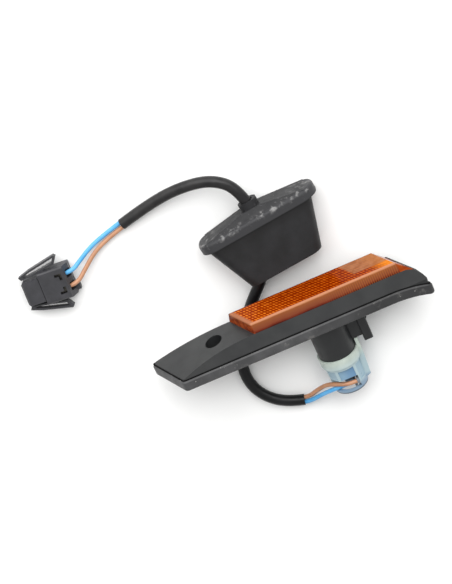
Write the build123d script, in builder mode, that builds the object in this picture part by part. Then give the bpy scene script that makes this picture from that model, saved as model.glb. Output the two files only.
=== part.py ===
import os
from math import asin, atan2, cos, degrees, hypot, radians, sin, sqrt, tan

from build123d import *

# Side repeater lamp with its lead, in millimetres. It lies as it comes to rest: on the corner of
# the gasket at the tip, on the end of the bulb holder, and on its own lead, which runs under it.

# Lamp body. u runs along the lamp from the screw end to the tip, n out of the lens, v up its width.
slant = tan(radians(26.5))  # both ends lean over this much
screw_end = -80.0  # ends of the gasket at mid width, from the axis of the bulb socket
tip_end = 48.8
half_width = 14.25  # of the gasket
gasket_height = 5.6
gasket_band = 4.2  # width of the rubber band seen from behind
corner = 2.4
edge_round = 1.2
deep = 12.0  # past the bent tip, below the seat
bite = 0.5  # overlap of shapes that join
bend_start = 28.0  # from here the seat curves back round the panel
bend_radius = 55.0
body_inset = 1.1  # from the gasket's outside to the body's foot
body_top = 12.8  # flat under the lens
body_top_half = 10.0
ramp_end = -38.0  # the screw end falls away from here
ramp_radius = 130.0
wall = 2.0
back_plate = 3.6  # height of the body's back over the panel
lip_clear = 0.2
chamber_half = 8.0
pocket_start = -69.0
pocket_roof = 7.0
rib_thick = 1.4
tip_rib_at = 26.8  # two ribs behind the tip
tip_rib_y = 5.0
tip_rib_length = 15.0
tip_rib_height = 2.0

# Lens and what is under it
lens_start = -37.2
lens_end = 37.6
lens_drop = 40.5  # the seat of the lens falls from here to its tip
lens_tip = 44.0
lens_tip_height = 11.6
lens_top = 18.0
lens_rake = 0.7  # how far the blunt end leans in
lens_wall = 2.0
lens_dip = 3.0  # sides are drawn from this far below the seat
lens_top_half = 8.8
lens_round = 0.9
plate_half = 7.0  # reflex plate
plate_thick = 1.15
plate_clear = 0.05  # under the lens
prism_pitch = 1.8
prism_depth = 0.7
window_start = 16.5  # past here the plate is only a strip along the upper edge
strip_width = 3.6
tray_thick = 0.8
tray_clear = 0.6

# Socket, stop peg and bulb holder, down the back of the lamp
neck_radius = 9.55
neck_bore = 7.75
neck_length = 19.6
peg_start = 14.3
peg_end = 18.8
peg_half = 3.5
peg_round = 0.8
barb_foot = -8.2
barb_top = -4.6
barb_out = 1.7
web_thick = 5.0
peg_length = 18.75
web_length = 15.6
flange_radius = 10.35
flange_height = 5.0
holder_radius = 9.3
holder_end_radius = 8.5
holder_length = 40.5  # from the panel to the holder's end
holder_cavity = 6.6
spigot_radius = 7.5
spigot_height = 8.0
seal_inner = 6.4
seal_height = 2.2
seal_foot = -17.4
bulb_radius = 4.8
bulb_clear = 1.4  # to the hole in the tray
bulb_shoulder = 7.6
wedge_top = -10.5
wedge_foot = -19.0
wedge_half = 4.4
wedge_thick = 2.2
end_ring = 1.4  # left below the opening for the wires
wire_window = 6.6
wire_window_low = 1.0
wire_window_right = 4.4
wire_window_left = -12.0
cavity_height = 15.5
lug_in = 9.75
lug_out = 11.4
lug_taper = 0.8
lug_half = 3.0
lug_foot = 3.0  # over the holder's end
window_turns = (-90, -38, 38, 90, 142, 218)
front_turn = -90
window_foot = 4.5  # over the holder's end
window_height = 9.5
window_width = 5.0
front_width = 8.0
window_depth = 0.9
front_depth = 1.6
contact_in = 1.2
contact_out = 1.8
contact_half = 2.5
contact_top = 13.0
contact_inset = 0.6  # from the holder's end
contact_grip = 0.2
block_thick = 1.2
blue_stop = 1.4  # where the wires end, along the lamp and up its width
blue_rise = 3.8
brown_stop = 3.1
brown_rise = 6.5
blue_level = 2.8  # over the holder's end
brown_level = 4.2
shelf_drop = 1.3  # from the brown contact's shelf to its wire
shelf_thick = 0.6

# Fixing screw hole
screw_at = -52.4
screw_radius = 2.6
recess_radius = 4.4
recess_floor = 6.0
boss_radius = 6.4
boss_foot = 0.6

# Lead
sheath_d = 5.6
wire_d = 2.2
wire_pitch = 2.5  # between the two wires where the sheath ends

# Grommet
rim_length = 62.5
rim_width = 18.6
rim_thick = 5.0
rim_corner = 8.0
rim_round = 1.6
collar_radius = 4.8
collar_height = 3.4
roof_height = 3.6
cone_top_length = 56.5
cone_top_width = 16.6
cone_end_length = 39.0
cone_end_width = 15.8
cone_length = 25.5
cone_corner = 5.0
rubber_wall = 2.0
sheath_clear = 0.15
grommet_turn = 7.5  # degrees from the lamp's cross direction
grommet_x = -6.5  # its narrow end, from the bulb socket
grommet_y = 29.8

# Plug. Its x runs from the wire end to the nose.
plug_x = -104.5  # its wire end, from the bulb socket
plug_y = 63.1
plug_turn = 3.4  # degrees
plug_length = 15.2
plug_width = 16.4
plug_height = 10.0
plug_chamfer = 0.7
nose_wall = 3.0
wire_slope = 2.6  # the wire end leans back this far at the top
wire_drop = 5.0
nose_length = 9.2
nose_width = 12.4
nose_inset = 0.9
nose_chamfer = 1.0
way_pitch = 6.8
way_bore = 4.2
way_height = 6.3
test_hole = 2.4
key_x = 4.6  # corner of each L-shaped window
key_y = 4.5
key_arm = 3.4
key_width = 1.4
key_depth = 2.0
tab_out = 2.0
tab_y = 5.8
tab_width = 2.6
terminal_width = 3.4
terminal_start = 3.4
terminal_length = 17.0
terminal_crimp = 5.6
terminal_wall = 0.5
latch_height = 3.4
latch_outside = (
    (24.8, 8.6),
    (19.0, 10.6),
    (4.8, 14.0),
    (3.8, 13.0),
    (6.0, 9.6),
    (11.5, 8.9),
    (12.0, 8.0),
    (14.9, 8.0),
    (15.4, 7.8),
    (23.8, 7.0),
)
latch_slot = (
    (22.6, 8.3),
    (18.8, 9.65),
    (5.6, 12.75),
    (6.9, 10.6),
    (15.0, 8.85),
    (20.8, 7.95),
)

# How the lamp lies. The lead lifts the gasket where it crosses, and the holder's end stops the roll.
lead_crossing = -39.5
rest_corner = 41.5  # part of the tip corner that stands on the table
rest_drop = 2.6  # the bend has brought it this far back
dip = asin((sheath_d - 0.2 * rest_drop) / (rest_corner - lead_crossing))
rest_lift = rest_corner * tan(dip) + 0.14 * rest_drop
spare = half_width - holder_end_radius
lean = atan2(spare, holder_length) + asin(rest_lift / hypot(spare, holder_length))
seat_x = 15.55
seat_y = 11.03
seat_z = 16.88

u_dir = Vector(cos(dip), 0, -sin(dip))
n_dir = Vector(sin(dip) * sin(lean), cos(lean), cos(dip) * sin(lean))
v_dir = Vector(sin(dip) * cos(lean), -sin(lean), cos(dip) * cos(lean))
seat_at = Vector(seat_x, seat_y, seat_z)
foot = Vector(seat_x, seat_y, 0)
seat = Plane(origin=seat_at, x_dir=u_dir, z_dir=n_dir)  # its y points down the width
side = Plane(origin=seat_at, x_dir=u_dir, z_dir=v_dir)  # its y points out of the lens
cross_dir = (v_dir + u_dir * slant).normalized()  # along the slanted ends
reach = 40.0  # well past the width on each side


# A point of the slanted plan, and the corners of an outline of a given half width
def slanted(along, y):
    return along - slant * y, y


def outline(half, start, end):
    return [slanted(start, -half), slanted(end, -half), slanted(end, half), slanted(start, half)]


# A point over the bent part of the seat, at a height and a distance along
def arc_on_bend(height, along):
    turn = asin((along - bend_start) / bend_radius)
    out = bend_radius + height
    return bend_start + out * sin(turn), out * cos(turn) - bend_radius


def bend_mid(height, along):
    return arc_on_bend(height, (bend_start + along) / 2)


# A point on the curved ramp at the screw end
def on_ramp(along):
    return along, body_top - ramp_radius + sqrt(ramp_radius**2 - (along - ramp_end) ** 2)


# Each arc of a lead is as large as its two runs allow
def open_radii(points):
    radii = []
    for before, at, after in zip(points, points[1:], points[2:]):
        into, out = at - before, after - at
        turn = radians(into.get_angle(out))
        radii.append(0.45 * min(into.length, out.length) / tan(turn / 2))
    return radii


def from_foot(points):
    return [foot + Vector(*p) for p in points]


os.makedirs("parts", exist_ok=True)
far_end = tip_end + 3


# Where the middle of an edge lies: over the curved seat, and by the outside of the outline
def over_seat(edge):
    at = seat.to_local_coords(edge @ 0.5)
    along = at.X + slant * at.Y
    if along < bend_start:
        return at.Z
    return hypot(along - bend_start, at.Z + bend_radius) - bend_radius


def on_outside(edge):
    at = seat.to_local_coords(edge @ 0.5)
    along = at.X + slant * at.Y
    return abs(at.Y) > half_width - 2 or not screw_end + 2 < along < tip_end - 2


# Rubber gasket: a slanted ring whose tip end bends back
with BuildPart() as mounting_gasket:
    with BuildSketch(seat.offset(-deep)):
        with BuildLine():
            Polyline(*outline(half_width, screw_end, tip_end), close=True)
        make_face()
        fillet(vertices(), corner)
        offset(amount=-gasket_band, mode=Mode.SUBTRACT)
    extrude(amount=2 * deep)
    with BuildSketch(side):
        with BuildLine():
            Line((screw_end - reach, 0), (bend_start, 0))
            ThreePointArc((bend_start, 0), bend_mid(0, far_end), arc_on_bend(0, far_end))
            Line(arc_on_bend(0, far_end), arc_on_bend(gasket_height, far_end))
            ThreePointArc(
                arc_on_bend(gasket_height, far_end),
                bend_mid(gasket_height, far_end),
                (bend_start, gasket_height),
            )
            Line((bend_start, gasket_height), (screw_end - reach, gasket_height))
            Line((screw_end - reach, gasket_height), (screw_end - reach, 0))
        make_face()
    extrude(amount=reach, dir=cross_dir, both=True, mode=Mode.INTERSECT)
    outside = mounting_gasket.edges().filter_by(on_outside)
    fillet(outside.filter_by(lambda e: abs(over_seat(e)) < 0.01), edge_round)
    outside = mounting_gasket.edges().filter_by(on_outside)
    chamfer(outside.filter_by(lambda e: abs(over_seat(e) - gasket_height) < 0.01), edge_round / 2)
mounting_gasket.part.label = "mounting_gasket"
export_step(mounting_gasket.part, "parts/mounting_gasket.step")

# Body: sloping sides on a straight foot, cut to the ramp above and the bent seat below
slope = degrees(atan2(half_width - body_inset - body_top_half, body_top - gasket_height))
plate_inset = gasket_band + lip_clear
pocket_half = half_width - plate_inset - wall
with BuildPart() as housing:
    with BuildSketch(seat.offset(gasket_height)) as body_foot:
        with BuildLine():
            Polyline(*outline(half_width, screw_end, tip_end), close=True)
        make_face()
        fillet(vertices(), corner)
        offset(amount=-body_inset, mode=Mode.REPLACE)
    extrude(amount=body_top - gasket_height + bite, taper=slope)
    extrude(body_foot.sketch, amount=-deep)
    with BuildSketch(side):
        with BuildLine():
            Line((screw_end, gasket_height), (bend_start, gasket_height))
            ThreePointArc(
                (bend_start, gasket_height),
                bend_mid(gasket_height, far_end),
                arc_on_bend(gasket_height, far_end),
            )
            Line(arc_on_bend(gasket_height, far_end), (far_end + deep, lens_tip_height))
            Line((far_end + deep, lens_tip_height), (lens_tip, lens_tip_height))
            Line((lens_tip, lens_tip_height), (lens_drop, body_top))
            Line((lens_drop, body_top), (ramp_end, body_top))
            ThreePointArc((ramp_end, body_top), on_ramp((ramp_end + screw_end) / 2), on_ramp(screw_end))
            Line(on_ramp(screw_end), (screw_end, gasket_height))
        make_face()
    extrude(amount=reach, dir=cross_dir, both=True, mode=Mode.INTERSECT)
    # Back plate, set inside the rubber ring
    with BuildSketch(seat.offset(back_plate)):
        with BuildLine():
            Polyline(*outline(half_width, screw_end, tip_end), close=True)
        make_face()
        fillet(vertices(), corner)
        offset(amount=-plate_inset, mode=Mode.REPLACE)
    extrude(amount=gasket_height - back_plate)
    # Light chamber, open under the lens
    with BuildSketch(seat.offset(body_top)):
        with BuildLine():
            Polyline(*outline(chamber_half, lens_start + 2 * wall, lens_end), close=True)
        make_face()
        fillet(vertices(), wall / 2)
    extrude(amount=gasket_height - body_top, mode=Mode.SUBTRACT)
    # Hollow behind the screw end
    with BuildSketch(seat.offset(back_plate)):
        with BuildLine():
            Polyline(*outline(pocket_half, pocket_start, ramp_end - wall), close=True)
        make_face()
        fillet(vertices(), wall)
    extrude(amount=pocket_roof - back_plate, mode=Mode.SUBTRACT)
    # Screw boss with its four ribs
    with BuildSketch(seat.offset(boss_foot)):
        with Locations((screw_at, 0)):
            Circle(boss_radius)
    extrude(amount=pocket_roof - boss_foot + bite)
    with BuildSketch(seat.offset(back_plate)):
        with Locations((screw_at, 0)):
            Rectangle(2 * (ramp_end - screw_at), rib_thick)
            Rectangle(rib_thick, 2 * pocket_half + wall)
    extrude(amount=pocket_roof - back_plate + bite)
    # Socket neck, web and stop peg
    with BuildSketch(seat.offset(gasket_height)):
        Circle(neck_radius)
    extrude(amount=-neck_length - gasket_height)
    with BuildSketch(seat.offset(back_plate)):
        with Locations(((neck_bore + peg_start) / 2 + bite, 0)):
            Rectangle(peg_start - neck_bore, web_thick)
    extrude(amount=-web_length - back_plate)
    with BuildSketch(seat.offset(back_plate)):
        with Locations(((peg_start + peg_end) / 2, 0)):
            RectangleRounded(peg_end - peg_start, 2 * peg_half, peg_round)
    extrude(amount=-peg_length - back_plate)
    with BuildSketch(side):
        with BuildLine():
            Polyline(
                (peg_end - bite, barb_foot),
                (peg_end, barb_foot),
                (peg_end + barb_out, barb_top - 1),
                (peg_end - bite, barb_top),
                close=True,
            )
        make_face()
    extrude(amount=web_thick / 2, both=True)
    # Stiffening ribs behind the tip
    with BuildSketch(seat.offset(back_plate)):
        with Locations((tip_rib_at, tip_rib_y), (tip_rib_at, -tip_rib_y)):
            Rectangle(tip_rib_length, rib_thick)
    extrude(amount=-tip_rib_height)
    # Holes: screw recess and screw hole, bulb socket
    with BuildSketch(seat.offset(recess_floor)):
        with Locations((screw_at, 0)):
            Circle(recess_radius)
    extrude(amount=body_top, mode=Mode.SUBTRACT)
    with BuildSketch(seat.offset(recess_floor)):
        with Locations((screw_at, 0)):
            Circle(screw_radius)
    extrude(amount=-body_top, mode=Mode.SUBTRACT)
    with BuildSketch(seat.offset(gasket_height)):
        Circle(neck_bore)
    extrude(amount=-neck_length - gasket_height, mode=Mode.SUBTRACT)
housing.part.label = "housing"
export_step(housing.part, "parts/housing.step")

# Lens: a hollow amber cover with slanted ends and a sloping tip
lens_slope = degrees(atan2(body_top_half - lens_top_half, lens_top - body_top))
lens_foot_half = body_top_half + lens_dip * tan(radians(lens_slope))
with BuildPart() as lens:
    with BuildSketch(side):
        with BuildLine():
            Polyline(
                (lens_start, body_top),
                (lens_start + lens_rake, lens_top),
                (lens_end, lens_top),
                (lens_tip, lens_tip_height),
                (lens_drop, body_top),
                close=True,
            )
        make_face()
    extrude(amount=reach, dir=cross_dir, both=True)
    with BuildSketch(seat.offset(body_top - lens_dip)):
        with BuildLine():
            Polyline(*outline(lens_foot_half, lens_start - reach, lens_tip + reach), close=True)
        make_face()
    extrude(amount=lens_top - body_top + lens_dip, taper=lens_slope, mode=Mode.INTERSECT)
    fillet(lens.faces().sort_by(Axis(seat_at, n_dir))[-1].edges(), lens_round)
    # Inside, open below
    with BuildSketch(seat.offset(body_top)):
        with BuildLine():
            Polyline(*outline(chamber_half, lens_start + wall, lens_end - wall), close=True)
        make_face()
    extrude(amount=lens_top - lens_wall - body_top, taper=lens_slope, mode=Mode.SUBTRACT)
lens.part.label = "lens"
export_step(lens.part, "parts/lens.step")

# Reflex plate under the lens: crossing grooves leave a field of small prisms. Over the bulb it
# narrows to a strip, which leaves a clear window.
plate_top = lens_top - lens_wall - plate_clear
plate_foot = plate_top - plate_thick
plate_start = lens_start + 2 * wall
plate_tip = lens_end - 2 * wall
strip_low = strip_width - plate_half
across = Plane(origin=seat_at, x_dir=v_dir, z_dir=-u_dir)  # its y points out of the lens


# Edge of a row of grooves, closed above them
def groove_comb(start, end):
    count = int((end - start) / prism_pitch) + 1
    comb = []
    for step in range(count):
        comb.append((start + step * prism_pitch, plate_top))
        comb.append((start + (step + 0.5) * prism_pitch, plate_top - prism_depth))
    comb.append((start + count * prism_pitch, plate_top))
    comb.append((start + count * prism_pitch, plate_top + prism_depth))
    comb.append((start, plate_top + prism_depth))
    return comb


with BuildPart() as reflex_plate:
    with BuildSketch(seat.offset(plate_foot)):
        with BuildLine():
            Polyline(
                slanted(plate_start, -plate_half),
                slanted(plate_tip, -plate_half),
                slanted(plate_tip, strip_low),
                slanted(window_start, strip_low),
                slanted(window_start, plate_half),
                slanted(plate_start, plate_half),
                close=True,
            )
        make_face()
    extrude(amount=plate_thick)
    with BuildSketch(side):
        with BuildLine():
            Polyline(*groove_comb(plate_start, plate_tip), close=True)
        make_face()
    extrude(amount=reach, dir=cross_dir, both=True, mode=Mode.SUBTRACT)
    with BuildSketch(across):
        with BuildLine():
            Polyline(*groove_comb(-plate_half, plate_half), close=True)
        make_face()
    extrude(amount=2 * reach, both=True, mode=Mode.SUBTRACT)
reflex_plate.part.label = "reflex_plate"
export_step(reflex_plate.part, "parts/reflex_plate.step")

# Bright tray in the light chamber, with turned-up sides that carry the reflex plate
tray_half = chamber_half - tray_clear
tray_start = plate_start + tray_clear
tray_end = plate_tip + tray_clear
with BuildPart() as light_tray:
    with BuildSketch(seat.offset(gasket_height)):
        with BuildLine():
            Polyline(*outline(tray_half, tray_start, tray_end), close=True)
        make_face()
        fillet(vertices(), wall / 2)
    extrude(amount=plate_foot - gasket_height)
    with BuildSketch(seat.offset(gasket_height + tray_thick)):
        with BuildLine():
            Polyline(*outline(tray_half, tray_start, tray_end), close=True)
        make_face()
        fillet(vertices(), wall / 2)
        offset(amount=-tray_thick, mode=Mode.REPLACE)
    extrude(amount=plate_foot - gasket_height, mode=Mode.SUBTRACT)
    with BuildSketch(seat.offset(gasket_height)):
        Circle(bulb_radius + bulb_clear)
    extrude(amount=tray_thick, mode=Mode.SUBTRACT)
light_tray.part.label = "light_tray"
export_step(light_tray.part, "parts/light_tray.step")

# Capless bulb: a round-topped tube on a flat wedge
with BuildPart() as bulb:
    with BuildSketch(side):
        with BuildLine():
            Polyline(
                (0, wedge_top),
                (wedge_thick / 2, wedge_top),
                (bulb_radius, wedge_top + bulb_radius),
                (bulb_radius, bulb_shoulder),
            )
            RadiusArc((bulb_radius, bulb_shoulder), (0, bulb_shoulder + bulb_radius), -bulb_radius)
            Line((0, bulb_shoulder + bulb_radius), (0, wedge_top))
        make_face()
    revolve(axis=Axis(seat_at, n_dir))
    with BuildSketch(seat.offset(wedge_foot)):
        Rectangle(2 * wedge_half, wedge_thick)
    extrude(amount=wedge_top + 3 - wedge_foot)
bulb.part.label = "bulb"
export_step(bulb.part, "parts/bulb.step")

# Bulb holder: spigot, flange, ribbed skirt with windows, a lug for the peg and an
# opening for the wires
flange_foot = -neck_length - flange_height
skirt_taper = degrees(atan2(holder_radius - holder_end_radius, holder_length + flange_foot))
with BuildPart() as bulb_holder:
    with BuildSketch(seat.offset(-neck_length)):
        Circle(spigot_radius)
    extrude(amount=spigot_height)
    with BuildSketch(seat.offset(-neck_length)):
        Circle(flange_radius)
    extrude(amount=-flange_height)
    with BuildSketch(seat.offset(flange_foot)):
        Circle(holder_radius)
    extrude(amount=-holder_length - flange_foot, taper=skirt_taper)
    with BuildSketch(side):
        with BuildLine():
            Polyline(
                (lug_in, -neck_length - bite),
                (lug_in, -web_length - lip_clear),
                (lug_out, -web_length - lip_clear),
                (lug_out, flange_foot),
                (lug_out - lug_taper, lug_foot - holder_length),
                (holder_end_radius - wall, end_ring - holder_length),
                (holder_end_radius - wall, -neck_length - bite),
                close=True,
            )
        make_face()
    extrude(amount=lug_half, both=True)
    # Windows between the ribs, the widest at the front
    for turn in window_turns:
        at_front = turn == front_turn
        depth = front_depth if at_front else window_depth
        with BuildSketch(seat.offset(window_foot - holder_length)):
            with PolarLocations(holder_radius - depth + wall, 1, turn):
                Rectangle(2 * wall, front_width if at_front else window_width)
        extrude(amount=window_height, mode=Mode.SUBTRACT)
    # Groove of the seal ring, slot of the wedge, hollow, and opening for the wires
    with BuildSketch(seat.offset(seal_foot)):
        Circle(spigot_radius + bite)
        Circle(seal_inner, mode=Mode.SUBTRACT)
    extrude(amount=seal_height, mode=Mode.SUBTRACT)
    with BuildSketch(seat.offset(-neck_length + spigot_height)):
        Rectangle(2 * (wedge_half + lip_clear), wedge_thick + 2 * lip_clear)
        Rectangle(2 * (contact_half + lip_clear), 2 * (contact_out + lip_clear))
    extrude(amount=-holder_length, mode=Mode.SUBTRACT)
    with BuildSketch(seat.offset(-holder_length)):
        Circle(holder_cavity)
    extrude(amount=cavity_height, mode=Mode.SUBTRACT)
    with BuildSketch(seat.offset(end_ring - holder_length)):
        with BuildLine():
            Polyline(
                (wire_window_left, -flange_radius),
                (wire_window_right, -flange_radius),
                (wire_window_right, -wire_window_low),
                (wire_window_left, -wire_window_low),
                close=True,
            )
        make_face()
    extrude(amount=wire_window, mode=Mode.SUBTRACT)
bulb_holder.part.label = "bulb_holder"
export_step(bulb_holder.part, "parts/bulb_holder.step")

with BuildPart() as holder_seal_ring:
    with BuildSketch(seat.offset(seal_foot)):
        Circle(neck_bore - sheath_clear)
        Circle(seal_inner + sheath_clear, mode=Mode.SUBTRACT)
    extrude(amount=seal_height)
holder_seal_ring.part.label = "holder_seal_ring"
export_step(holder_seal_ring.part, "parts/holder_seal_ring.step")

# Contact strips beside the wedge; each ends in a block the wire butts against
blue_rest = blue_level - holder_length
brown_rest = brown_level - holder_length
brown_shelf = brown_rest + shelf_drop
contact_foot = contact_inset - holder_length
block_half = wire_d / 2 + contact_grip
with BuildPart() as contact_blue:
    with BuildSketch(seat.offset(contact_foot)):
        with Locations((0, -(contact_in + contact_out) / 2)):
            Rectangle(2 * contact_half, contact_out - contact_in)
    extrude(amount=-contact_top - contact_foot)
    with BuildSketch(seat.offset(contact_foot)):
        with Locations((blue_stop + block_thick / 2, -(contact_in + blue_rise + block_half) / 2)):
            Rectangle(block_thick, blue_rise + block_half - contact_in)
    extrude(amount=blue_rest + block_half - contact_foot)
contact_blue.part.label = "contact_blue"
export_step(contact_blue.part, "parts/contact_blue.step")

with BuildPart() as contact_brown:
    with BuildSketch(seat.offset(brown_shelf)):
        with Locations((0, (contact_in + contact_out) / 2)):
            Rectangle(2 * contact_half, contact_out - contact_in)
    extrude(amount=-brown_shelf - contact_top)
    with BuildSketch(seat.offset(brown_shelf)):
        with BuildLine():
            Polyline(
                (contact_half - shelf_thick, contact_out),
                (brown_stop + block_thick, contact_out),
                (brown_stop + block_thick, -brown_rise - block_half),
                (brown_stop, -brown_rise - block_half),
                (brown_stop, contact_in),
                (contact_half - shelf_thick, contact_in),
                close=True,
            )
        make_face()
    extrude(amount=shelf_thick)
    with BuildSketch(seat.offset(brown_shelf)):
        with Locations((brown_stop + block_thick / 2, -brown_rise)):
            Rectangle(block_thick, 2 * block_half)
    extrude(amount=brown_rest - block_half - brown_shelf)
contact_brown.part.label = "contact_brown"
export_step(contact_brown.part, "parts/contact_brown.step")

# Lead. Its sheath runs from the lamp wires, under the lamp, up through the grommet and on to the
# plug wires. The grommet lies on its rim and its narrow end.
rise = atan2((rim_width - cone_end_width) / 2, cone_length)
turn = radians(grommet_turn)
grommet_axis = Vector(-sin(turn) * cos(rise), cos(turn) * cos(rise), sin(rise))
grommet_at = foot + Vector(grommet_x, grommet_y, cone_end_width / 2 * cos(rise))
boot = Plane(origin=grommet_at, x_dir=(cos(turn), sin(turn), 0), z_dir=grommet_axis)
lie = sheath_d / 2
sheath_run = from_foot(
    [
        (-25.8, -40.5, lie + 0.5),
        (-33.2, -38.8, lie),
        (-41.7, -33.2, lie),
        (-47.2, -24.6, lie),
        (-48.0, -14.2, lie),
        (-44.2, -2.4, lie),
        (-37.0, 8.2, lie),
        (-29.4, 17.6, 4.3),
        (-20.6, 26.4, 6.2),
    ]
)
sheath_run += [grommet_at + grommet_axis * 14, grommet_at + grommet_axis * 44]
sheath_run += from_foot([(-22.4, 83.1, 10.9), (-38.7, 84.6, 7.6), (-55.9, 82.0, 4.4), (-71.9, 77.5, lie)])
sheath_radii = open_radii(sheath_run)
with BuildPart() as cable_sheath:
    with BuildLine() as sheath_line:
        FilletPolyline(*sheath_run, radius=sheath_radii)
    with BuildSketch(Plane(origin=sheath_line.line @ 0, z_dir=sheath_line.line % 0)):
        Circle(sheath_d / 2)
    sweep()
cable_sheath.part.label = "cable_sheath"
export_step(cable_sheath.part, "parts/cable_sheath.step")

# The two wires leave each end of the sheath side by side
lamp_out = (sheath_run[0] - sheath_run[1]).normalized()
lamp_across = Vector(0, 0, 1).cross(lamp_out).normalized() * (wire_pitch / 2)
plug_out = (sheath_run[-1] - sheath_run[-2]).normalized()
plug_across = Vector(0, 0, 1).cross(plug_out).normalized() * (wire_pitch / 2)


# A point on the lamp
def on_lamp(u, v, n):
    return seat_at + u_dir * u + v_dir * v + n_dir * n


brown_run = [on_lamp(brown_stop, brown_rise, brown_rest), on_lamp(brown_stop - 5, brown_rise, brown_rest)]
brown_run += from_foot([(-6.6, -35.2, 14.4), (-12.2, -34.7, 10.8), (-17.4, -37.0, 6.6)])
brown_run += [sheath_run[0] + lamp_across + lamp_out * 3.8, sheath_run[0] + lamp_across]
blue_run = [on_lamp(blue_stop, blue_rise, blue_rest), on_lamp(blue_stop - 5, blue_rise, blue_rest)]
blue_run += from_foot([(-9.8, -37.2, 12.4), (-15.8, -38.7, 9.0)])
blue_run += [sheath_run[0] - lamp_across + lamp_out * 4.4, sheath_run[0] - lamp_across]
plug_blue_run = [sheath_run[-1] - plug_across, sheath_run[-1] - plug_across + plug_out * 8]
plug_blue_run += from_foot([(-90.2, 73.4, 3.0), (-98.2, 69.1, 5.2)])
plug_brown_run = [sheath_run[-1] + plug_across, sheath_run[-1] + plug_across + plug_out * 8]
plug_brown_run += from_foot([(-89.4, 70.3, 2.9), (-97.0, 64.5, 5.0)])
plug_at = foot + Vector(plug_x, plug_y, 0)
plug_nose = Vector(-cos(radians(plug_turn)), sin(radians(plug_turn)), 0)
plug = Plane(origin=plug_at, x_dir=plug_nose, z_dir=(0, 0, 1))  # x runs to the nose
for run, way in ((plug_blue_run, -1), (plug_brown_run, 1)):
    for along in (-1.5, terminal_start):
        run.append(plug.from_local_coords(Vector(along, way * way_pitch / 2, way_height)))

print("sheath", round(sheath_line.wires()[0].length, 2), [round(r / sheath_d, 1) for r in sheath_radii])
print([tuple(round(c, 2) for c in p) for p in sheath_run])
for name, run in (
    ("lamp_wire_brown", brown_run),
    ("lamp_wire_blue", blue_run),
    ("plug_wire_blue", plug_blue_run),
    ("plug_wire_brown", plug_brown_run),
):
    with BuildPart() as wire:
        with BuildLine() as wire_line:
            FilletPolyline(*run, radius=open_radii(run))
        with BuildSketch(Plane(origin=wire_line.line @ 0, z_dir=wire_line.line % 0)):
            Circle(wire_d / 2)
        sweep()
    wire.part.label = name
    export_step(wire.part, f"parts/{name}.step")
    print(name, round(wire_line.wires()[0].length, 2), [round(r / wire_d, 1) for r in open_radii(run)])
    print([tuple(round(c, 2) for c in p) for p in run])

# Grommet: a hollow rubber boot, open at its narrow end, with a thick rim, a low roof and a collar
rim_top = cone_length + rim_thick
collar_top = rim_top + roof_height + collar_height
with BuildPart() as grommet:
    with BuildSketch(boot):
        Rectangle(cone_end_length, cone_end_width)
    with BuildSketch(boot.offset(cone_length)):
        Rectangle(cone_top_length, cone_top_width)
    loft(ruled=True)
    along_boot = grommet.edges().filter_by(lambda e: e.length * abs((e % 0.5).dot(grommet_axis)) > 1)
    fillet(along_boot, cone_corner)
    with BuildSketch(boot.offset(cone_length)):
        RectangleRounded(rim_length, rim_width, rim_corner)
    extrude(amount=rim_thick)
    at_rim_top = grommet.edges().filter_by(lambda e: abs(boot.to_local_coords(e @ 0.5).Z - rim_top) < 0.01)
    fillet(at_rim_top, rim_round)
    with BuildSketch(boot.offset(rim_top)):
        Rectangle(rim_length - rim_corner, rim_width - 2 * rim_round)
    with BuildSketch(boot.offset(rim_top + roof_height)):
        Rectangle(2 * collar_radius, 2 * collar_radius)
    loft(ruled=True)
    with BuildSketch(boot.offset(rim_top)):
        Circle(collar_radius)
    extrude(amount=roof_height + collar_height)
    # Hollow inside, and the way for the sheath
    with BuildSketch(boot):
        Rectangle(cone_end_length - 2 * rubber_wall, cone_end_width - 2 * rubber_wall)
    with BuildSketch(boot.offset(cone_length)):
        Rectangle(cone_top_length - 2 * rubber_wall, cone_top_width - 2 * rubber_wall)
    loft(ruled=True, mode=Mode.SUBTRACT)
    with BuildSketch(boot.offset(cone_length)):
        Circle(sheath_d / 2 + sheath_clear)
    extrude(amount=collar_top - cone_length, mode=Mode.SUBTRACT)
grommet.part.label = "grommet"
export_step(grommet.part, "parts/grommet.step")

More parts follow.
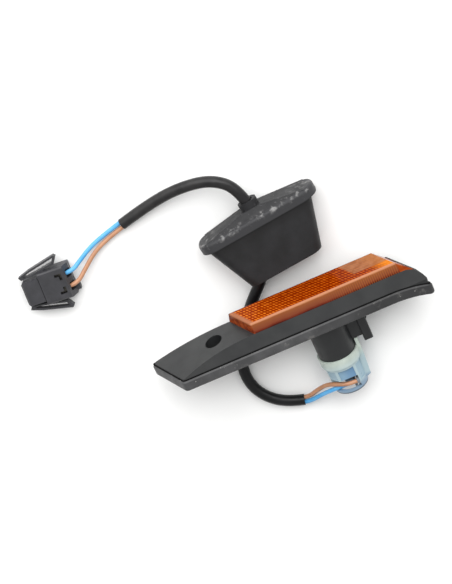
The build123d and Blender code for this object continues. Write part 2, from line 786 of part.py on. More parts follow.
# Plug: a two-way housing with a sloping wire end, a narrower nose and a looped latch along each side
plug_side = Plane(origin=plug_at, x_dir=plug_nose, z_dir=-plug.y_dir)  # its y points up
ways = Plane(origin=plug_at + Vector(0, 0, way_height), x_dir=plug.y_dir, z_dir=plug_nose)
plug_end = plug_length + nose_length
with BuildPart() as plug_housing:
    with BuildSketch(plug_side):
        with BuildLine():
            Polyline(
                (0, 0),
                (plug_length, 0),
                (plug_length, plug_height),
                (wire_slope, plug_height),
                (0, plug_height - wire_drop),
                close=True,
            )
        make_face()
    extrude(amount=plug_width / 2, both=True)
    chamfer(plug_housing.edges().filter_by(Axis(plug_at, plug_nose)), plug_chamfer)
    with BuildSketch(plug.offset(nose_inset)):
        with Locations(((plug_length + plug_end) / 2 - plug_chamfer, 0)):
            Rectangle(nose_length + 2 * plug_chamfer, nose_width)
    extrude(amount=plug_height - 2 * nose_inset)
    chamfer(plug_housing.faces().sort_by(Axis(plug_at, plug_nose))[-1].edges(), nose_chamfer)
    for flip in (1, -1):
        with BuildSketch(plug.offset((plug_height - latch_height) / 2)):
            with BuildLine():
                Polyline(*[(x, flip * y) for x, y in latch_outside], close=True)
            make_face()
            with BuildLine():
                Polyline(*[(x, flip * y) for x, y in latch_slot], close=True)
            make_face(mode=Mode.SUBTRACT)
        extrude(amount=latch_height)
    # Tab beside the wires
    with BuildSketch(plug.offset(nose_inset)):
        with Locations((0, tab_y)):
            Rectangle(2 * tab_out, tab_width)
    extrude(amount=wire_drop - 2 * nose_inset)
    # Ways for the terminals, from the wire end; small test holes in the nose
    with BuildSketch(ways):
        with Locations((way_pitch / 2, 0), (-way_pitch / 2, 0)):
            Rectangle(way_bore, way_bore)
    extrude(amount=plug_end - nose_wall, mode=Mode.SUBTRACT)
    with BuildSketch(ways):
        with Locations((way_pitch / 2, 0), (-way_pitch / 2, 0)):
            Rectangle(test_hole, test_hole)
    extrude(amount=plug_end, mode=Mode.SUBTRACT)
    # L-shaped windows in the top, one over each way
    with BuildSketch(plug.offset(plug_height)):
        for flip in (1, -1):
            with Locations((key_x + (key_arm - key_width) / 2, flip * key_y)):
                Rectangle(key_arm, key_width)
            with Locations((key_x, flip * (key_y - (key_arm - key_width) / 2))):
                Rectangle(key_width, key_arm)
    extrude(amount=-key_depth, mode=Mode.SUBTRACT)
plug_housing.part.label = "plug_housing"
export_step(plug_housing.part, "parts/plug_housing.step")

# Terminals: folded boxes lying on the floor of their ways, open ahead of the crimp
for name, way in (("terminal_blue", -1), ("terminal_brown", 1)):
    with BuildPart() as terminal:
        with BuildSketch(plug.offset(way_height - way_bore / 2)):
            with Locations((terminal_start + terminal_length / 2, way * way_pitch / 2)):
                Rectangle(terminal_length, terminal_width)
        extrude(amount=terminal_width)
        with BuildSketch(ways.offset(terminal_start + terminal_crimp)):
            with Locations((way * way_pitch / 2, (terminal_width - way_bore) / 2)):
                Rectangle(terminal_width - 2 * terminal_wall, terminal_width - 2 * terminal_wall)
        extrude(amount=terminal_length, mode=Mode.SUBTRACT)
    terminal.part.label = name
    export_step(terminal.part, f"parts/{name}.step")
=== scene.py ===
import math

import bpy
from mathutils import Matrix, Vector


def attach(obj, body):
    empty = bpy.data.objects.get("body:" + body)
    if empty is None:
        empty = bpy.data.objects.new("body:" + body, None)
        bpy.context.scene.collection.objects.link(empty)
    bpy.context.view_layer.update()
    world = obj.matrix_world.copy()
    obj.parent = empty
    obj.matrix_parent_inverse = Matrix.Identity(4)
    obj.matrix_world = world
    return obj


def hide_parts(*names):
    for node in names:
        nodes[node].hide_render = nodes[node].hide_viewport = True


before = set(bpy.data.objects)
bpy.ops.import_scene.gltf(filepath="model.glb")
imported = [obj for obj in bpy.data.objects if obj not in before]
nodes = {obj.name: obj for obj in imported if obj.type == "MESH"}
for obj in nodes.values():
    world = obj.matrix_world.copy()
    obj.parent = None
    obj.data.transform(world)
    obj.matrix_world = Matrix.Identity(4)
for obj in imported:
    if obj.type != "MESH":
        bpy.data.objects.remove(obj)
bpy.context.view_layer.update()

scene = bpy.context.scene
mm = 0.001  # in metres
perMetre = 1000.0  # a pattern's scale is this over its size in millimetres

# The lamp lies tilted. These are the middle of its seat, in millimetres, and the ways that its
# length, width and lens point.
lampFrame = {
    "seat": (15.55, 11.03, 16.88),
    "along": (0.998031, 0.0, -0.062716),
    "across": (0.061289, -0.212123, 0.975319),
    "out": (0.013304, 0.977243, 0.211706),
    "slant": 0.4986,  # how far the ends lean along for each millimetre across
}
lampWays = [Vector(lampFrame[way]) for way in ("along", "across", "out")]
# The grommet's narrow end, the way that its axis points, and how far up it the rim lies
bootFrame = {
    "seat": (9.05, 40.83, 7.89),
    "axis": (-0.13033, 0.989954, 0.054819),
    "rimFoot": 25.5,
    "rimTop": 30.5,
}


def linear(hexCode):
    channels = [int(hexCode[i : i + 2], 16) / 255 for i in (1, 3, 5)]
    return [c / 12.92 if c <= 0.04045 else ((c + 0.055) / 1.055) ** 2.4 for c in channels] + [1.0]


# Camera, as the photograph has it
view = {
    "at": (113.01, 335.72, 958.82),
    "right": (0.9183, -0.3958, -0.008),
    "up": (0.3719, 0.8696, -0.3248),
    "back": (0.1355, 0.2953, 0.9457),
    "focal": 128.2,
    "frameHeight": 36.0,
    "nearest": 0.05,
}


def placeCamera():
    data = bpy.data.cameras.new("studioCamera")
    data.sensor_fit = "VERTICAL"
    data.sensor_height = view["frameHeight"]
    data.lens = view["focal"]
    data.clip_start = view["nearest"]
    camera = bpy.data.objects.new("studioCamera", data)
    scene.collection.objects.link(camera)
    turned = Matrix((view["right"], view["up"], view["back"])).transposed().to_4x4()
    camera.matrix_world = Matrix.Translation(Vector(view["at"]) * mm) @ turned
    scene.camera = camera


placeCamera()
print("camera placed")


# Adds a node. A socket takes a link, a hex colour or a number, and a ramp takes its stops.
def addNode(tree, kind, sockets=(), out=0, stops=(), **settings):
    made = tree.nodes.new("ShaderNode" + kind)
    for name, value in settings.items():
        setattr(made, name, value)
    for key, value in dict(sockets).items():
        if isinstance(value, bpy.types.NodeSocket):
            tree.links.new(value, made.inputs[key])
        else:
            made.inputs[key].default_value = linear(value) if isinstance(value, str) else value
    if stops:
        elements = made.color_ramp.elements
        while len(elements) < len(stops):
            elements.new(0.5)
        for element, (at, shade) in zip(elements, stops):
            element.position = at
            element.color = linear(shade) if isinstance(shade, str) else (shade, shade, shade, 1.0)
    return made.outputs[out] if len(made.outputs) else None


def newMaterial(name, sockets):
    made = bpy.data.materials.new(name)
    made.use_nodes = True
    tree = made.node_tree
    tree.nodes.clear()
    shaded = addNode(tree, "BsdfPrincipled", sockets)
    addNode(tree, "OutputMaterial", {"Surface": shaded})
    return made, tree, shaded.node, addNode(tree, "TexCoord", out="Object")


# Distance in millimetres from a point, along a direction
def reach(tree, place, seat, direction):
    away = addNode(tree, "VectorMath", {0: place, 1: Vector(seat) * mm}, operation="SUBTRACT")
    sockets = {0: away, 1: Vector(direction) * perMetre}
    return addNode(tree, "VectorMath", sockets, "Value", operation="DOT_PRODUCT")


# The same from the lamp's seat, with a share of each of the lamp's own ways
def lampReach(tree, place, along=0.0, across=0.0, out=0.0):
    direction = lampWays[0] * along + lampWays[1] * across + lampWays[2] * out
    return reach(tree, place, lampFrame["seat"], direction)


# 0 to 1 as each measure goes from its first number to its second, multiplied together
def within(tree, *ranges):
    mask = None
    for value, start, end in ranges:
        sockets = {"Value": value, "From Min": start, "From Max": end}
        gone = addNode(tree, "MapRange", sockets, interpolation_type="SMOOTHSTEP")
        if mask is None:
            mask = gone
        else:
            mask = addNode(tree, "Math", {0: mask, 1: gone}, operation="MULTIPLY")
    return mask


# Ranges that leave a band with a soft edge on each side
def band(value, low, high, soft):
    return [(value, low - soft, low), (value, high + soft, high)]


# A tint over a colour, where the ranges say
def tintWhere(tree, colour, tint, ranges, share=1.0):
    mask = within(tree, *ranges)
    if share != 1.0:
        mask = addNode(tree, "Math", {0: mask, 1: share}, operation="MULTIPLY")
    return addNode(tree, "Mix", {0: mask, 6: colour, 7: tint}, 2, data_type="RGBA")


# Shades in soft patches of a size in millimetres
def mottle(tree, place, size, detail, stops):
    sockets = {"Vector": place, "Scale": perMetre / size, "Detail": detail}
    return addNode(tree, "ValToRGB", {"Fac": addNode(tree, "TexNoise", sockets)}, stops=stops)


# A measure that wanders by up to a distance, in patches of a size in millimetres
def wander(tree, place, value, size, detail, distance):
    sockets = {"Vector": place, "Scale": perMetre / size, "Detail": detail}
    strays = {0: addNode(tree, "TexNoise", sockets), 1: distance, 2: value}
    return addNode(tree, "Math", strays, operation="MULTIPLY_ADD")


# Dust, specks or chalk: a tint in ragged grains, kept to the ranges
def soil(tree, place, colour, mark, ranges=()):
    sockets = {
        "Vector": place,
        "Scale": perMetre / mark["size"],
        "Detail": mark["detail"],
        "Roughness": mark["ragged"],
    }
    grains = addNode(tree, "TexNoise", sockets)
    ranges = [(grains, *mark["cover"]), *ranges]
    return tintWhere(tree, colour, mark["tint"], ranges, mark["share"])


# What the moulded, drawn and plated surfaces share: two shades in soft patches, handling smears in
# the gloss, and a fine grain. Real mould grain is under 0.1 mm, too fine to show here, so each
# piece's grain is drawn coarser, at 0.3 mm or more.
handled = {
    "shine": 0.5,
    "ior": 1.5,  # also the default, which the tin keeps
    "patchFrom": 0.35,
    "patchTo": 0.68,
    "patchDetail": 3.0,
    "smearSize": 0.6,  # of a patch
    "smearFrom": 0.3,
    "smearTo": 0.7,
    "smearDetail": 4.0,
    "glossier": 0.07,
    "duller": 0.1,
    "grainDetail": 2.0,
    "grainStrength": 0.6,
}


def surface(name, look):
    sockets = {
        "IOR": handled["ior"],
        "Specular IOR Level": look.get("shine", handled["shine"]),
        "Metallic": look.get("metal", 0.0),
    }
    made, tree, shader, place = newMaterial(name, sockets)
    shades = [(handled["patchFrom"], look["dark"]), (handled["patchTo"], look["light"])]
    colour = mottle(tree, place, look["patch"], handled["patchDetail"], shades)
    smears = [
        (handled["smearFrom"], look["rough"] - handled["glossier"]),
        (handled["smearTo"], look["rough"] + handled["duller"]),
    ]
    smearSize = look["patch"] * handled["smearSize"]
    gloss = mottle(tree, place, smearSize, handled["smearDetail"], smears)
    sockets = {"Vector": place, "Scale": perMetre / look["grain"], "Detail": handled["grainDetail"]}
    relief = {
        "Height": addNode(tree, "TexNoise", sockets),
        "Strength": handled["grainStrength"],
        "Distance": look["relief"] * mm,
    }
    tree.links.new(colour, shader.inputs["Base Color"])
    tree.links.new(gloss, shader.inputs["Roughness"])
    tree.links.new(addNode(tree, "Bump", relief), shader.inputs["Normal"])
    return made, tree, shader, place, colour


def paint(name, material):
    piece = nodes[name]
    piece.data.materials.clear()
    piece.data.materials.append(material)


# Lamp body: spark-eroded ABS, an even satin
bodyLook = {
    "dark": "#1f2021", "light": "#282929", "patch": 14.0,
    "rough": 0.4, "grain": 0.4, "relief": 0.02, "shine": 0.4,
}

# Gasket: EPDM sponge skin, which holds dust and shows pale specks where it was pulled on. Its
# curved end is darker, as painted shade.
gasketLook = {
    "dark": "#39393a", "light": "#474748", "patch": 8.0,
    "rough": 0.62, "grain": 0.6, "relief": 0.04,
    "endShade": "#1f1f20", "endShadeAlong": (-15.0, 30.0), "endShadeShare": 0.7,
    "dust": {
        "tint": "#7c7a76", "size": 5.0, "detail": 6.0, "ragged": 0.7,
        "cover": (0.56, 0.72), "share": 0.35,
    },
    "specks": {
        "tint": "#a9a7a2", "size": 1.1, "detail": 2.0, "ragged": 0.6,
        "cover": (0.71, 0.76), "share": 1.0,
    },
}


def gasketEpdm():
    look = gasketLook
    made, tree, shader, place, colour = surface("dustyEpdm", look)
    # Painted shade: darker towards the gasket's curved end
    endShade = [(lampReach(tree, place, along=1.0), *look["endShadeAlong"])]
    colour = tintWhere(tree, colour, look["endShade"], endShade, look["endShadeShare"])
    colour = soil(tree, place, colour, look["dust"])
    colour = soil(tree, place, colour, look["specks"])
    tree.links.new(colour, shader.inputs["Base Color"])
    return made


# Lens: amber PMMA, polished and clear. The glints of the prisms under its top are painted as a
# field of sparks, its smooth window and borders carry a painted reflection and painted highlights,
# and its walls run from painted dark red shade at the cut edge of the foot to a painted highlight
# on the shoulder.
lensLook = {
    "rough": 0.08,
    "ior": 1.49,
    "clear": 0.1,
    "shine": 0.02,
    # Side walls: painted shade at the dark foot, a painted highlight on the pale shoulder, and
    # painted glints on faint ribs towards the tip
    "wall": (13.2, 19.6),  # heights above the seat
    "wallDrift": (7.0, 4.0, 1.6),  # patch size, detail and distance
    "wallShadeToHighlight": [
        (0.0, "#360e08"), (0.06, "#66281a"), (0.2, "#7a3e28"), (0.55, "#82482c"),
        (0.8, "#8a4e2c"), (0.93, "#b67a50"), (0.98, "#cc9468"),
    ],
    "ribGlint": "#b06c2a", "ribPitch": 1.1, "ribAlong": (-5.0, 25.0), "ribSoft": 1.2, "ribShare": 0.4,
    # Painted glints of the prisms over the top, brighter towards the blunt end, and a painted glow
    # of light at the tip
    "sparkAlong": 1.55,
    "sparkAcross": 2.3,
    "twinkle": (2.0, 2.0, 4.0),
    "sparkCover": (0.2, 4.2),
    "bluntSparks": [(0.0, "#842800"), (0.5, "#9c3800"), (1.0, "#e08026")],
    "tipGlints": [(0.0, "#6a1800"), (0.5, "#882e00"), (1.0, "#b45410")],
    "sparkTurn": (-34.0, 12.0),
    "sparkDrift": (11.0, 3.0, 30.0),
    "glow": "#de8416", "glowFrom": (26.0, 38.0), "glowShare": 0.7,
    # Smooth window with a painted reflection, and borders with painted highlights
    "top": (17.0, 17.5),
    "field": (-34.4, 20.5),  # along the lean, from the end's border to the window
    "strip": 3.4,  # across, and sparks go on past the window here
    "border": 7.7,
    "backBorder": (-8.0, -8.5),
    "edgeSoft": 0.5,
    "windowSoft": 0.6,
    "endSoft": 0.7,
    "windowReflection": (4.0, 5.0, [(0.3, "#86502e"), (0.75, "#a06e4c")]),  # patch size, detail and shades
    "windowReflectionShare": 0.8,
    "endHighlight": "#a4684a",
    "borderHighlight": "#b47a5a",
    "backTint": "#4a2814",
    # Sloping tip, and the blunt end in painted shade
    "slope": (3.0, 3.0, [(0.35, "#84300a"), (0.7, "#ae541c")]),
    "slopeFrom": (37.4, 38.2),
    "blunt": (2.4, 3.0, [(0.35, "#5c1a08"), (0.7, "#a04a20")]),
    "bluntFrom": (-36.4, -36.9),
    "bluntBelow": (17.6, 16.9),
}


def lensPmma():
    look = lensLook
    sockets = {
        "Roughness": look["rough"],
        "IOR": look["ior"],
        "Transmission Weight": look["clear"],
        "Specular IOR Level": look["shine"],
    }
    made, tree, shader, place = newMaterial("amberPmma", sockets)
    along = lampReach(tree, place, along=1.0)
    across = lampReach(tree, place, across=1.0)
    rise = lampReach(tree, place, out=1.0)
    lean = lampReach(tree, place, along=1.0, across=-lampFrame["slant"])
    ripples = {}  # even, from -1 to 1
    for pitch, value in (("ribPitch", along), ("sparkAlong", lean), ("sparkAcross", across)):
        perTurn = 2 * math.pi / look[pitch]
        angle = addNode(tree, "Math", {0: value, 1: perTurn}, operation="MULTIPLY")
        ripples[pitch] = addNode(tree, "Math", {0: angle}, operation="COSINE")
    # Side walls: painted shade at the foot, a painted highlight on the shoulder, painted glints on
    # the ribs
    height = within(tree, (wander(tree, place, rise, *look["wallDrift"]), *look["wall"]))
    colour = addNode(tree, "ValToRGB", {"Fac": height}, stops=look["wallShadeToHighlight"])
    fade = within(tree, (along, *look["ribAlong"]))
    ribGlints = addNode(tree, "Math", {0: ripples["ribPitch"], 1: fade}, operation="MULTIPLY")
    colour = tintWhere(tree, colour, look["ribGlint"], [(ribGlints, 0.0, look["ribSoft"])], look["ribShare"])
    # Painted glints of the prisms, and a painted glow at the tip
    bothWays = {0: ripples["sparkAlong"], 1: ripples["sparkAcross"]}
    rows = addNode(tree, "Math", bothWays, operation="ADD")
    spark = within(tree, (wander(tree, place, rows, *look["twinkle"]), *look["sparkCover"]))
    left = addNode(tree, "ValToRGB", {"Fac": spark}, stops=look["bluntSparks"])
    right = addNode(tree, "ValToRGB", {"Fac": spark}, stops=look["tipGlints"])
    turn = (wander(tree, place, lean, *look["sparkDrift"]), *look["sparkTurn"])
    face = tintWhere(tree, left, right, [turn])
    face = tintWhere(tree, face, look["glow"], [(lean, *look["glowFrom"])], look["glowShare"])
    # Window with a painted reflection, and borders with painted highlights
    start, end = look["field"]
    soft, windowSoft = look["edgeSoft"], look["windowSoft"]
    window = [
        (lean, end - windowSoft, end + windowSoft),
        (across, look["strip"] + soft, look["strip"] - soft),
    ]
    face = tintWhere(tree, face, mottle(tree, place, *look["windowReflection"]), window, look["windowReflectionShare"])
    face = tintWhere(tree, face, look["endHighlight"], [(lean, start + soft, start - look["endSoft"])])
    border = [(across, look["border"], look["border"] + soft)]
    face = tintWhere(tree, face, look["borderHighlight"], border)
    face = tintWhere(tree, face, look["backTint"], [(across, *look["backBorder"])])
    colour = tintWhere(tree, colour, face, [(rise, *look["top"])])
    # Ends, the blunt one in painted shade
    slope = mottle(tree, place, *look["slope"])
    colour = tintWhere(tree, colour, slope, [(lean, *look["slopeFrom"])])
    blunt = mottle(tree, place, *look["blunt"])
    ranges = [(rise, *look["bluntBelow"]), (lean, *look["bluntFrom"])]
    colour = tintWhere(tree, colour, blunt, ranges)
    tree.links.new(colour, shader.inputs["Base Color"])
    return made


# Reflex plate: the same resin, whose prisms turn the light back: painted highlights on the peaks
# and painted shade, red, in the grooves
plateLook = {
    # Painted shade in the groove, painted highlight on the peak
    "stops": [(0.0, "#7a2400"), (0.5, "#e08a30"), (0.95, "#fff0c0")],  # groove, flank, peak
    "rough": 0.22,
    "ior": 1.49,
    "top": 15.95,
    "depth": 0.7,
    "shade": "#b84a00", "shadeAlong": (-38.0, 20.0), "shadeShare": 0.45,
}


def platePmma():
    look = plateLook
    sockets = {"Roughness": look["rough"], "IOR": look["ior"]}
    made, tree, shader, place = newMaterial("prismPmma", sockets)
    rise = lampReach(tree, place, out=1.0)
    height = within(tree, (rise, look["top"] - look["depth"], look["top"]))
    colour = addNode(tree, "ValToRGB", {"Fac": height}, stops=look["stops"])
    shade = [(lampReach(tree, place, along=1.0), *look["shadeAlong"])]
    colour = tintWhere(tree, colour, look["shade"], shade, look["shadeShare"])
    tree.links.new(colour, shader.inputs["Base Color"])
    return made


# Light tray: white polycarbonate, gloss inside, yellowed a little in patches by the bulb's heat
trayLook = {
    "dark": "#d9d3c4", "light": "#e8e6df", "patch": 12.0,
    "rough": 0.3, "grain": 0.5, "relief": 0.01,
}

# Bulb: soda glass drawn thin, with faint waves from the press
bulbLook = {
    "stops": [(0.3, "#f3efe6"), (0.7, "#ffffff")],
    "rough": 0.03, "ior": 1.52, "clear": 0.95,
    "wave": 6.0, "waveDetail": 3.0, "waveStrength": 0.3, "waveDepth": 0.05,
}


def bulbGlass():
    look = bulbLook
    sockets = {"Roughness": look["rough"], "IOR": look["ior"], "Transmission Weight": look["clear"]}
    made, tree, shader, place = newMaterial("bulbGlass", sockets)
    sockets = {"Vector": place, "Scale": perMetre / look["wave"], "Detail": look["waveDetail"]}
    waves = addNode(tree, "TexNoise", sockets)
    tint = addNode(tree, "ValToRGB", {"Fac": waves}, stops=look["stops"])
    relief = {"Height": waves, "Strength": look["waveStrength"], "Distance": look["waveDepth"] * mm}
    tree.links.new(tint, shader.inputs["Base Color"])
    tree.links.new(addNode(tree, "Bump", relief), shader.inputs["Normal"])
    return made


# Bulb holder: natural polyamide, milky, bluer and darker towards its far end. Its thin windows are
# painted blue, for the dark inside seen through them.
holderLook = {
    "dark": "#a5b0a8", "light": "#bcc6bd", "patch": 7.0,
    "rough": 0.34, "grain": 0.5, "relief": 0.01,
    "middle": "#a5bac0", "middleFrom": (-20.5, -28.0),
    "low": "#7b93a8", "lowFrom": (-35.6, -38.5),
    "end": "#4a525a", "endFrom": (-39.5, -40.3),
}
# A window's four numbers: the way it faces, along and across the lamp, its distance from the axis
# and half its width
holderWindows = {
    "front": (0.0, 1.0, 7.7, 4.0),
    "others": [
        (0.788, 0.616, 8.4, 2.5), (-0.788, 0.616, 8.4, 2.5),
        (0.788, -0.616, 8.4, 2.5), (-0.788, -0.616, 8.4, 2.5), (0.0, -1.0, 8.4, 2.5),
    ],
    "levels": (-36.0, -26.5), "levelSoft": 0.1,
    "skin": 0.08, "skinSoft": 0.06,
    "sideSoft": 0.15,
    "frontStops": [(0.0, "#86a3b4"), (1.0, "#5d84a8")],
    "frontDrift": (5.0, 4.0, 9.0), "frontTurn": (-4.0, 11.0),
    "otherTint": "#8fa9b6",
}


def holderNylon():
    look, windows = holderLook, holderWindows
    made, tree, shader, place, colour = surface("milkyNylon", look)
    depth = lampReach(tree, place, out=1.0)
    colour = tintWhere(tree, colour, look["middle"], [(depth, *look["middleFrom"])])
    cloud = wander(tree, place, lampReach(tree, place, along=1.0), *windows["frontDrift"])
    bluer = within(tree, (cloud, *windows["frontTurn"]))
    blue = addNode(tree, "ValToRGB", {"Fac": bluer}, stops=windows["frontStops"])
    skin, sideSoft = windows["skin"], windows["sideSoft"]
    for window in [windows["front"], *windows["others"]]:
        goesAlong, goesAcross, flat, half = window
        outward = lampReach(tree, place, along=goesAlong, across=goesAcross)
        sideways = lampReach(tree, place, along=-goesAcross, across=goesAlong)
        ranges = band(outward, flat - skin, flat + skin, windows["skinSoft"])
        ranges += band(sideways, sideSoft - half, half - sideSoft, sideSoft)
        ranges += band(depth, *windows["levels"], windows["levelSoft"])
        tint = blue if window == windows["front"] else windows["otherTint"]
        colour = tintWhere(tree, colour, tint, ranges)
    colour = tintWhere(tree, colour, look["low"], [(depth, *look["lowFrom"])])
    colour = tintWhere(tree, colour, look["end"], [(depth, *look["endFrom"])])
    tree.links.new(colour, shader.inputs["Base Color"])
    return made


# Seal ring: silicone, dull and dark
sealLook = {
    "dark": "#1d1d1f", "light": "#29292b", "patch": 4.0,
    "rough": 0.6, "grain": 0.5, "relief": 0.02,
}

# Contacts and terminals: tin over brass, dulled by handling. The contacts are painted lighter, as
# painted light, and the terminals deep in the plug darker, as painted shade
contactLook = {
    "dark": "#7d858e", "light": "#98a0a6", "patch": 3.0,
    "rough": 0.4, "grain": 0.3, "relief": 0.01, "metal": 0.5,
}
terminalLook = {
    "dark": "#4c4a45", "light": "#66635c", "patch": 3.0,
    "rough": 0.36, "grain": 0.3, "relief": 0.01, "metal": 0.9,
}

# Lead: extruded PVC, smooth from the die, with soft smears in its gloss. The part of the sheath
# that hung behind the panel is paler in patches: part dust, part painted sheen.
sheathLook = {
    "dark": "#0c0c0d", "light": "#131315", "patch": 9.0,
    "rough": 0.36, "grain": 0.7, "relief": 0.02, "shine": 0.26,
    "dustAndSheen": "#2b2a2a", "dustAndSheenFrom": (60.0, 85.0),
    "dustAndSheenShare": (5.0, 4.0, [(0.3, 0.3), (0.7, 0.9)]),  # patch size, detail and shares
}
blueLook = {
    "dark": "#4598cf", "light": "#5fabdc", "patch": 6.0,
    "rough": 0.33, "grain": 0.5, "relief": 0.01,
}
brownLook = {
    "dark": "#a87757", "light": "#bd8b6b", "patch": 6.0,
    "rough": 0.35, "grain": 0.5, "relief": 0.01,
}


def dustySheath():
    look = sheathLook
    made, tree, shader, place, colour = surface("sheathPvc", look)
    # Paler in patches behind the panel: part dust, part painted sheen
    behind = [(reach(tree, place, (0.0, 0.0, 0.0), (0.0, 1.0, 0.0)), *look["dustAndSheenFrom"])]
    share = mottle(tree, place, *look["dustAndSheenShare"])
    colour = tintWhere(tree, colour, look["dustAndSheen"], behind, share)
    tree.links.new(colour, shader.inputs["Base Color"])
    return made


# Grommet: moulded rubber, dusty on the rim and chalked white along the rim's edge, where it was
# pulled through the panel. Its ranges count from the rim's foot or top.
bootLook = {
    "dark": "#161617", "light": "#202022", "patch": 9.0,
    "rough": 0.55, "grain": 0.8, "relief": 0.05, "shine": 0.34,
    "rim": "#2f2f31", "rimFrom": (-0.2, 0.6),
    "roof": "#1c1c1e", "roofFrom": (-0.2, 0.4),
    "shade": "#0c0b0b", "shadeFrom": (-7.0, -1.0), "shadeTo": (0.0, -0.5), "shadeShare": 0.5,
    "dust": {
        "tint": "#6c6a6c", "size": 1.6, "detail": 3.0, "ragged": 0.6,
        "cover": (0.6, 0.76), "share": 0.35,
    },
    "chalk": {
        "tint": "#9c9b9a", "size": 3.4, "detail": 4.0, "ragged": 0.6,
        "cover": (0.5, 0.74), "share": 0.6,
    },
    "chalkFrom": (-3.0, -0.8), "chalkTo": (1.6, 0.2),
}


def bootRubber():
    look = bootLook
    made, tree, shader, place, colour = surface("bootRubber", look)
    seat, axis = Vector(bootFrame["seat"]), Vector(bootFrame["axis"])
    overFoot = reach(tree, place, seat + axis * bootFrame["rimFoot"], axis)
    overTop = reach(tree, place, seat + axis * bootFrame["rimTop"], axis)
    colour = tintWhere(tree, colour, look["rim"], [(overFoot, *look["rimFrom"])])
    colour = tintWhere(tree, colour, look["roof"], [(overTop, *look["roofFrom"])])
    shade = [(overFoot, *look["shadeFrom"]), (overFoot, *look["shadeTo"])]
    colour = tintWhere(tree, colour, look["shade"], shade, look["shadeShare"])
    rim = [(overFoot, 0.0, bootFrame["rimTop"] - bootFrame["rimFoot"])]
    colour = soil(tree, place, colour, look["dust"], rim)
    edge = [(overTop, *look["chalkFrom"]), (overTop, *look["chalkTo"])]
    colour = soil(tree, place, colour, look["chalk"], edge)
    tree.links.new(colour, shader.inputs["Base Color"])
    return made


# Plug: glass-filled polyamide, matt, with pale flow marks
plugLook = {
    "dark": "#2a2a2d", "light": "#353539", "patch": 6.0,
    "rough": 0.45, "grain": 0.4, "relief": 0.02,
}

sheathPvc = dustySheath()
bluePvc = surface("bluePvc", blueLook)[0]
brownPvc = surface("brownPvc", brownLook)[0]
paint("housing", surface("satinAbs", bodyLook)[0])
paint("mounting_gasket", gasketEpdm())
paint("lens", lensPmma())
paint("reflex_plate", platePmma())
paint("light_tray", surface("whitePc", trayLook)[0])
paint("bulb", bulbGlass())
paint("bulb_holder", holderNylon())
paint("holder_seal_ring", surface("sealSilicone", sealLook)[0])
paint("grommet", bootRubber())
paint("plug_housing", surface("plugPa", plugLook)[0])
# Painted light and shade: lighter tin on the contacts, darker tin on the terminals
contactTin = surface("paintedLitTin", contactLook)[0]
terminalTin = surface("paintedShadeTin", terminalLook)[0]
for way in ("blue", "brown"):
    paint("contact_" + way, contactTin)
    paint("terminal_" + way, terminalTin)
print("materials made")

# Cut edges of the solids catch light on a small round
edgeRounds = {
    "radii": {"housing": 0.35, "plug_housing": 0.2, "bulb_holder": 0.3},
    "segments": 2,
    "sharperThan": 35,
}
for name, radius in edgeRounds["radii"].items():
    edge = nodes[name].modifiers.new("edgeRound", "BEVEL")
    edge.width = radius * mm
    edge.segments = edgeRounds["segments"]
    edge.limit_method = "ANGLE"
    edge.angle_limit = math.radians(edgeRounds["sharperThan"])
    edge.use_clamp_overlap = True
print("edges rounded")

# A thin black bead round the foot of the body, where it meets the gasket: painted shade in the
# joint.
# Past bendStart the seat curves back round the panel.
shadeLine = {
    "ends": (-78.75, 47.55),
    "half": 13.2,
    "corner": 1.4,
    "cornerSteps": 4,
    "height": 5.75,
    "radius": 0.42,
    "bendStart": 28.0,
    "bendRadius": 55.0,
    "stepLength": 2.0,
    "roundness": 2,
}
# EPDM again, skinned, dull and nearly black: painted shade in the joint
shadeLineLook = {
    "dark": "#050505", "light": "#0b0b0b", "patch": 3.0,
    "rough": 0.75, "grain": 0.5, "relief": 0.01, "shine": 0.1,
}
shadeLineRubber = surface("shadeLineRubber", shadeLineLook)[0]


def lampPoint(along, across, out):
    seat = Vector(lampFrame["seat"])
    return (seat + lampWays[0] * along + lampWays[1] * across + lampWays[2] * out) * mm


def shadeLineOutline():
    corners = []
    for end, side in ((0, 1), (1, 1), (1, -1), (0, -1)):
        along = shadeLine["ends"][end] + lampFrame["slant"] * side * shadeLine["half"]
        corners.append(Vector((along, side * shadeLine["half"])))
    ring = []
    for i, corner in enumerate(corners):
        back = (corners[i - 1] - corner).normalized() * shadeLine["corner"]
        ahead = (corners[(i + 1) % 4] - corner).normalized() * shadeLine["corner"]
        for k in range(shadeLine["cornerSteps"] + 1):
            t = k / shadeLine["cornerSteps"]
            ring.append(corner + back * (1 - t) ** 2 + ahead * t**2)
    outline = []
    for i, start in enumerate(ring):
        run = ring[(i + 1) % len(ring)] - start
        pieces = max(1, round(run.length / shadeLine["stepLength"]))
        outline += [start + run * (k / pieces) for k in range(pieces)]
    return outline


def makeBead(name, points, radius, closed):
    data = bpy.data.curves.new(name, "CURVE")
    data.dimensions = "3D"
    data.bevel_depth = radius * mm
    data.bevel_resolution = shadeLine["roundness"]
    data.use_fill_caps = True
    spline = data.splines.new("POLY")
    spline.points.add(len(points) - 1)
    for point, at in zip(spline.points, points):
        point.co = (*at, 1.0)
    spline.use_cyclic_u = closed
    data.materials.append(shadeLineRubber)
    piece = bpy.data.objects.new(name, data)
    scene.collection.objects.link(piece)
    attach(piece, "root")


def makeShadeLine():
    points = []
    bend = shadeLine["bendRadius"]
    for place in shadeLineOutline():
        past = max(place.x - lampFrame["slant"] * place.y - shadeLine["bendStart"], 0.0)
        height = math.sqrt((bend + shadeLine["height"]) ** 2 - past**2) - bend
        points.append(lampPoint(place.x, place.y, height))
    makeBead("gasketShadeLine", points, shadeLine["radius"], True)


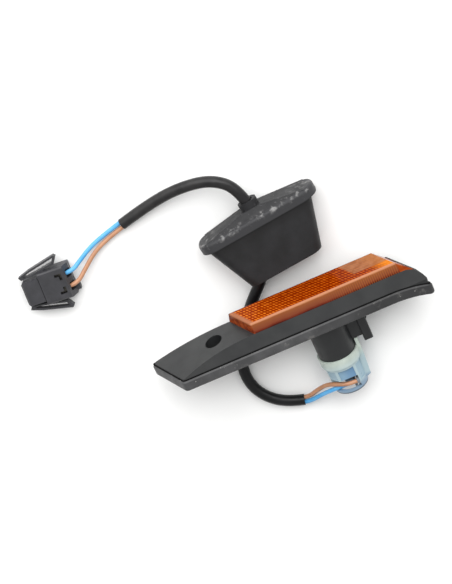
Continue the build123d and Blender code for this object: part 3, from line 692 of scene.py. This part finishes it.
# A thin black bead across the plug, where its nose steps down from the housing: painted shadow of
# the step
stepShadow = {
    "foot": (-88.95, 74.13),
    "nose": (-0.99824, 0.059306),
    "at": 15.3,
    "half": 6.1,
    "height": 9.15,
    "radius": 0.3,
}


def makeStepShadow():
    foot = Vector((*stepShadow["foot"], stepShadow["height"]))
    nose = Vector((*stepShadow["nose"], 0.0))
    across = Vector((-nose.y, nose.x, 0.0))
    ends = [foot + nose * stepShadow["at"] + across * (way * stepShadow["half"]) for way in (-1, 1)]
    makeBead("plugStepShadow", [end * mm for end in ends], stepShadow["radius"], False)


makeShadeLine()
makeStepShadow()
print("lip and joint made")

# Lead: each route's points, diameter and length are in millimetres
leads = {
    "sheathTube": {
        "points": [
            (-10.25, -29.47, 3.3), (-17.65, -27.77, 2.8), (-26.15, -22.17, 2.8),
            (-31.65, -13.57, 2.8), (-32.45, -3.17, 2.8), (-28.65, 8.63, 2.8),
            (-21.45, 19.23, 2.8), (-13.85, 28.63, 4.3), (-5.05, 37.43, 6.2),
            (7.23, 54.69, 8.66), (3.32, 84.39, 10.3), (-6.85, 94.13, 10.9),
            (-23.15, 95.63, 7.6), (-40.35, 93.03, 4.4), (-56.35, 88.53, 2.8),
        ],
        "diameter": 5.6, "length": 202.23,
        "node": "cable_sheath", "material": sheathPvc, "slot": "sheath_black",
        "farEnd": "object", "pieces": ["grommet"], "stiffness": "medium",
    },
    "lampWireBrown": {
        "points": [
            (18.56, -25.82, 15.34), (13.57, -25.82, 15.65), (8.95, -24.17, 14.4),
            (3.35, -23.67, 10.8), (-1.85, -25.97, 6.6), (-7.5, -28.82, 3.37), (-9.97, -28.25, 3.3),
        ],
        "diameter": 2.2, "length": 33.34,
        "node": "lamp_wire_brown", "material": brownPvc, "slot": "wire_brown",
        "farEnd": "object", "pieces": [], "stiffness": "limp",
    },
    "lampWireBlue": {
        "points": [
            (16.68, -26.62, 12.52), (11.69, -26.62, 12.83), (5.75, -26.7, 12.4),
            (-0.25, -28.3, 8.7), (-7.9, -31.29, 3.43), (-10.53, -30.69, 3.3),
        ],
        "diameter": 2.2, "length": 30.96,
        "node": "lamp_wire_blue", "material": bluePvc, "slot": "wire_blue",
        "farEnd": "object", "pieces": [], "stiffness": "limp",
    },
    "plugWireBlue": {
        "points": [
            (-56.69, 89.73, 2.8), (-64.35, 87.58, 2.03), (-74.65, 84.43, 3.0),
            (-82.65, 80.13, 5.2), (-87.25, 77.44, 6.3), (-92.14, 77.73, 6.3),
        ],
        "diameter": 2.2, "length": 38.29,
        "node": "plug_wire_blue", "material": bluePvc, "slot": "wire_blue",
        "farEnd": "plug", "pieces": ["plug_housing", "terminal_blue"], "stiffness": "limp",
    },
    "plugWireBrown": {
        "points": [
            (-56.01, 87.33, 2.8), (-63.68, 85.17, 2.03), (-73.85, 81.33, 2.9),
            (-81.45, 75.53, 5.0), (-87.65, 70.65, 6.3), (-92.55, 70.94, 6.3),
        ],
        "diameter": 2.2, "length": 41.29,
        "node": "plug_wire_brown", "material": brownPvc, "slot": "wire_brown",
        "farEnd": "plug", "pieces": ["plug_housing", "terminal_brown"], "stiffness": "limp",
    },
}
leadTube = {"roundness": 6, "steps": 12}


def layLead(name, lead):
    data = bpy.data.curves.new(name, "CURVE")
    data.dimensions = "3D"
    data.bevel_depth = lead["diameter"] / 2 * mm
    data.bevel_resolution = leadTube["roundness"]
    data.use_fill_caps = True
    data.resolution_u = leadTube["steps"]
    spline = data.splines.new("NURBS")
    spline.points.add(len(lead["points"]) - 1)
    for point, at in zip(spline.points, lead["points"]):
        point.co = (*(Vector(at) * mm), 1.0)
    spline.order_u = 3
    spline.use_endpoint_u = True
    data.materials.append(lead["material"])
    piece = bpy.data.objects.new(name, data)
    scene.collection.objects.link(piece)
    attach(piece, "root")
    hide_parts(lead["node"])


for name, lead in leads.items():
    layLead(name, lead)
print("lead laid")

# Floor: painted board, pale and dull
floor = {
    "size": 6.0,  # in metres
    "dark": "#f1f1f0", "light": "#f6f6f5", "patch": 60.0,
    "rough": 0.7, "grain": 2.0, "relief": 0.005,
}
floorMesh = bpy.data.meshes.new("floor")
half = floor["size"] / 2
corners = [(-half, -half, 0), (half, -half, 0), (half, half, 0), (-half, half, 0)]
floorMesh.from_pydata(corners, [], [(0, 1, 2, 3)])
floorPiece = bpy.data.objects.new("floor", floorMesh)
floorMesh.materials.append(surface("paintedFloor", floor)[0])
scene.collection.objects.link(floorPiece)

# Soft studio light, in metres and watts
studio = {
    "sky": "#ffffff",
    "skyStrength": 0.66,
    "aim": (0, 0.03, 0.02),
    "lights": {
        "key": {"at": (-0.1, 0.85, 0.75), "size": 1.3, "power": 15.0},
        "side": {"at": (0.55, 0.6, 0.75), "size": 0.8, "power": 5.0},
    },
}
world = bpy.data.worlds.new("studio")
world.use_nodes = True
sky = world.node_tree.nodes["Background"]
sky.inputs["Color"].default_value = linear(studio["sky"])
sky.inputs["Strength"].default_value = studio["skyStrength"]
scene.world = world
for name, light in studio["lights"].items():
    data = bpy.data.lights.new(name, "AREA")
    data.shape = "SQUARE"
    data.size = light["size"]
    data.energy = light["power"]
    lamp = bpy.data.objects.new(name, data)
    lamp.location = light["at"]
    shines = Vector(studio["aim"]) - Vector(light["at"])
    lamp.rotation_euler = shines.to_track_quat("-Z", "Y").to_euler()
    scene.collection.objects.link(lamp)
scene.view_settings.view_transform = "Standard"
print("studio lit")
